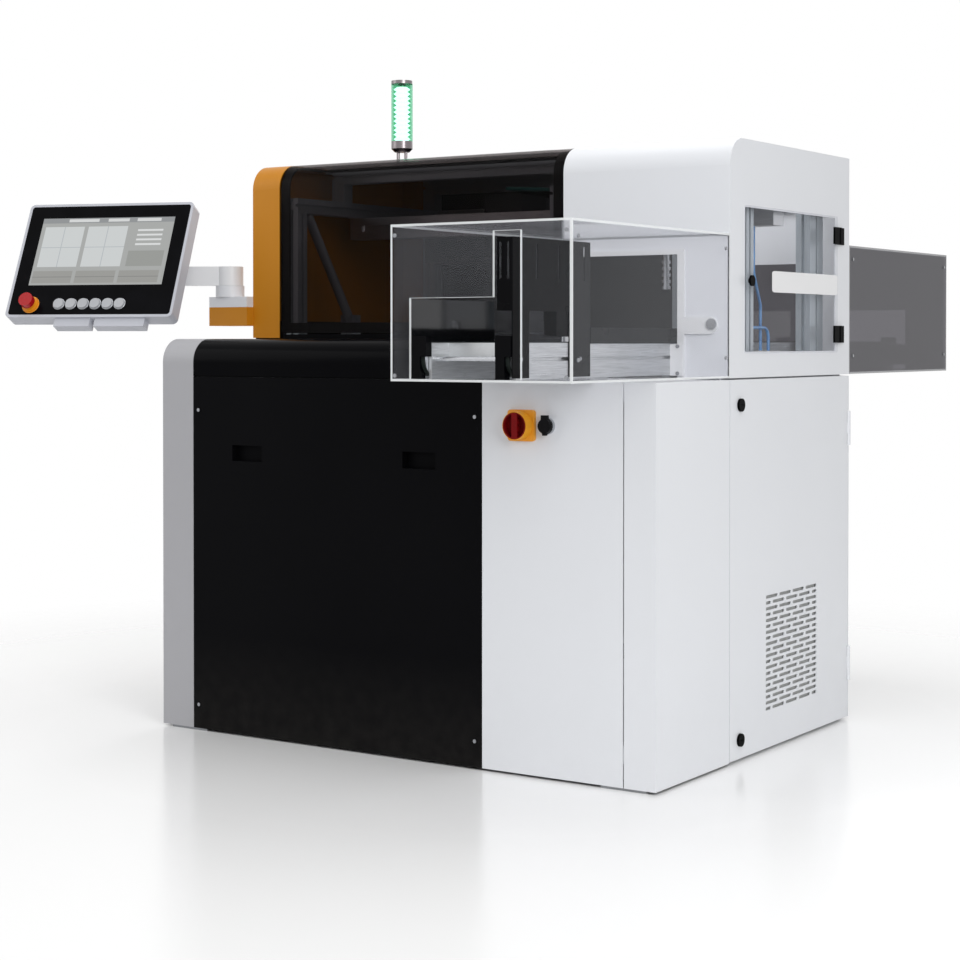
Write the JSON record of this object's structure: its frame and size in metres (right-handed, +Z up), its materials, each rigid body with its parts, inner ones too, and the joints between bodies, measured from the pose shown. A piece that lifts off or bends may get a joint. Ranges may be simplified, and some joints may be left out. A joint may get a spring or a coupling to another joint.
{
  "type": "laser lens engraver",
  "caption": "Floor-standing laser engraver for spectacle lenses with a tinted hood, a through conveyor under clear guards and an operator panel on a swivel arm",
  "frame": {"origin": "centre of the four floor anchor holes, on the floor, which is also the centre of the cabinet's footprint", "axes": "+X to the operator's right, +Y from the front into the machine along the conveyor, +Z up"},
  "size_m": [2.0707, 2.152, 1.727],
  "materials": {
    "orange_paint": "satin",
    "grey_paint": "satin",
    "black_paint": "satin",
    "white_paint": "satin",
    "steel_frame": "matt",
    "aluminium": "satin",
    "bright_steel": "brushed",
    "zinc_screw": "satin",
    "black_plastic": "matt",
    "gloss_black": "gloss",
    "panel_grey": "satin",
    "yellow_plastic": "satin",
    "red_plastic": "satin",
    "tinted_sheet": "gloss",
    "clear_sheet": "gloss",
    "smoked_sheet": "gloss",
    "screen_glass": "gloss",
    "green_lens": "gloss",
    "belt_rubber": "matt",
    "cup_rubber": "matt",
    "grey_plastic": "matt",
    "blue_tube": "gloss",
    "button_white": "satin"
  },
  "bodies": {
    "machine": {"base_frame": "steel_frame", "levelling_feet": "bright_steel", "cabinet_plates": "steel_frame", "grey_end_cover": "grey_paint", "black_front_panel": "black_paint", "black_cowl": "black_paint", "white_front_panel": "white_paint", "white_corner_panel": "white_paint", "rear_panels": "black_paint", "screws": "zinc_screw", "switch_plate": "yellow_plastic", "service_socket": "bright_steel", "control_modules": "grey_plastic", "orange_end_cover": "orange_paint", "top_cover": "black_paint", "white_housing": "white_paint", "upper_frame": "aluminium", "aperture_frame": "grey_paint", "window_hinge_bases": "black_plastic", "front_guard": "clear_sheet", "rear_guard": "smoked_sheet", "conveyor_rails": "aluminium", "conveyor_belts": "belt_rubber", "conveyor_end_caps": "black_plastic", "drive_motor": "black_plastic", "sensor_bracket": "gloss_black", "tray_reader": "grey_plastic", "tower_body": "black_plastic", "tower_lens": "green_lens", "hmi_bracket": "white_paint", "gantry_beam": "aluminium", "laser_source": "black_paint", "pneumatic_tubes": "blue_tube"},
    "service_door": {"service_door": "white_paint"},
    "lock_top": {"lock_top": "black_plastic"},
    "lock_bottom": {"lock_bottom": "black_plastic"},
    "switch_handle": {"switch_handle": "red_plastic"},
    "socket_cap": {"socket_cap": "black_plastic"},
    "aperture_latch": {"aperture_latch": "grey_plastic"},
    "hood": {"hood_window": "tinted_sheet", "hood_frame": "black_paint"},
    "side_window": {"window_pane": "clear_sheet", "window_fittings": "black_plastic"},
    "front_shaft": {"conveyor_shaft_front": "aluminium"},
    "rear_shaft": {"conveyor_shaft_rear": "aluminium"},
    "panel_arm": {"hmi_arm": "white_paint"},
    "panel_knuckle": {"hmi_knuckle": "black_plastic"},
    "panel": {"hmi_housing": "panel_grey", "hmi_glass": "screen_glass"},
    "estop_cap": {"estop_cap": "red_plastic"},
    "gripper_carriage": {"gripper_carriage": "black_plastic"},
    "vacuum_gripper": {"vacuum_gripper": "cup_rubber"},
    "lens_shuttle": {"lens_shuttle": "aluminium"},
    "scan_head": {"scan_head": "grey_plastic"},
    "button_1": {"hmi_button_1": "button_white"},
    "button_2": {"hmi_button_2": "button_white"},
    "button_3": {"hmi_button_3": "button_white"},
    "button_4": {"hmi_button_4": "button_white"},
    "button_5": {"hmi_button_5": "button_white"},
    "button_6": {"hmi_button_6": "button_white"}
  },
  "joints": [
    {"name": "service_door_swing", "type": "hinge", "parent": "machine", "child": "service_door", "pos_m": [0.725, 0.5295, 0.46], "axis": [0, 0, 1], "range_deg": [0, 110]},
    {"name": "lock_top_turn", "type": "hinge", "parent": "service_door", "child": "lock_top", "pos_m": [0.725, -0.1165, 0.848], "axis": [1, 0, 0], "range_deg": [0, 90]},
    {"name": "lock_bottom_turn", "type": "hinge", "parent": "service_door", "child": "lock_bottom", "pos_m": [0.725, -0.1165, 0.053], "axis": [1, 0, 0], "range_deg": [0, 90]},
    {"name": "main_switch_turn", "type": "hinge", "parent": "machine", "child": "switch_handle", "pos_m": [0.379, -0.5325, 0.8065], "axis": [0, -1, 0], "range_deg": [0, 90]},
    {"name": "socket_cap_turn", "type": "hinge", "parent": "machine", "child": "socket_cap", "pos_m": [0.447, -0.5325, 0.8065], "axis": [0, -1, 0], "range_deg": [0, 90]},
    {"name": "aperture_latch_turn", "type": "hinge", "parent": "machine", "child": "aperture_latch", "pos_m": [0.6804, -0.1705, 1.0395], "axis": [0, -1, 0], "range_deg": [0, 90]},
    {"name": "hood_lift", "type": "hinge", "parent": "machine", "child": "hood", "pos_m": [0, 0.033, 1.472], "axis": [-1, 0, 0], "range_deg": [0, 80]},
    {"name": "side_window_swing", "type": "hinge", "parent": "machine", "child": "side_window", "pos_m": [0.73297, 0.4515, 1.146], "axis": [0, 0, 1], "range_deg": [0, 110]},
    {"name": "front_shaft_spin", "type": "hinge", "parent": "machine", "child": "front_shaft", "pos_m": [0.445, -0.8435, 0.9606], "axis": [1, 0, 0], "continuous": true},
    {"name": "rear_shaft_spin", "type": "hinge", "parent": "machine", "child": "rear_shaft", "pos_m": [0.445, 1.2055, 0.9606], "axis": [1, 0, 0], "continuous": true},
    {"name": "arm_swivel", "type": "hinge", "parent": "machine", "child": "panel_arm", "pos_m": [-0.81, -0.1675, 1.17], "axis": [0, 0, 1], "range_deg": [-40, 30]},
    {"name": "panel_swivel", "type": "hinge", "parent": "panel_arm", "child": "panel_knuckle", "pos_m": [-1.08772, -0.33437, 1.19], "axis": [0, 0, 1], "range_deg": [-50, 10]},
    {"name": "panel_tilt", "type": "hinge", "parent": "panel_knuckle", "child": "panel", "pos_m": [-1.07587, -0.37207, 1.1839], "axis": [0.9483, 0.3173, 0], "range_deg": [-15, 15]},
    {"name": "estop_press", "type": "slide", "parent": "panel", "child": "estop_cap", "axis": [-0.2837, 0.8479, -0.4478], "range_m": [0, 0.005], "stiffness_N_per_m": 600},
    {"name": "button_1_press", "type": "slide", "parent": "panel", "child": "button_1", "axis": [-0.2837, 0.8479, -0.4478], "range_m": [0, 0.0025], "stiffness_N_per_m": 400},
    {"name": "button_2_press", "type": "slide", "parent": "panel", "child": "button_2", "axis": [-0.2837, 0.8479, -0.4478], "range_m": [0, 0.0025], "stiffness_N_per_m": 400},
    {"name": "button_3_press", "type": "slide", "parent": "panel", "child": "button_3", "axis": [-0.2837, 0.8479, -0.4478], "range_m": [0, 0.0025], "stiffness_N_per_m": 400},
    {"name": "button_4_press", "type": "slide", "parent": "panel", "child": "button_4", "axis": [-0.2837, 0.8479, -0.4478], "range_m": [0, 0.0025], "stiffness_N_per_m": 400},
    {"name": "button_5_press", "type": "slide", "parent": "panel", "child": "button_5", "axis": [-0.2837, 0.8479, -0.4478], "range_m": [0, 0.0025], "stiffness_N_per_m": 400},
    {"name": "button_6_press", "type": "slide", "parent": "panel", "child": "button_6", "axis": [-0.2837, 0.8479, -0.4478], "range_m": [0, 0.0025], "stiffness_N_per_m": 400},
    {"name": "gripper_traverse", "type": "slide", "parent": "machine", "child": "gripper_carriage", "axis": [-1, 0, 0], "range_m": [0, 0.595]},
    {"name": "gripper_lower", "type": "slide", "parent": "gripper_carriage", "child": "vacuum_gripper", "axis": [0, 0, -1], "range_m": [0, 0.075]},
    {"name": "shuttle_travel", "type": "slide", "parent": "machine", "child": "lens_shuttle", "axis": [0, 1, 0], "range_m": [0, 0.23]},
    {"name": "focus_travel", "type": "slide", "parent": "machine", "child": "scan_head", "axis": [0, 0, 1], "range_m": [-0.03, 0.01]}
  ],
  "couplings": [
    {"joint": "front_shaft_spin", "follows": "rear_shaft_spin", "ratio": 1}
  ]
}
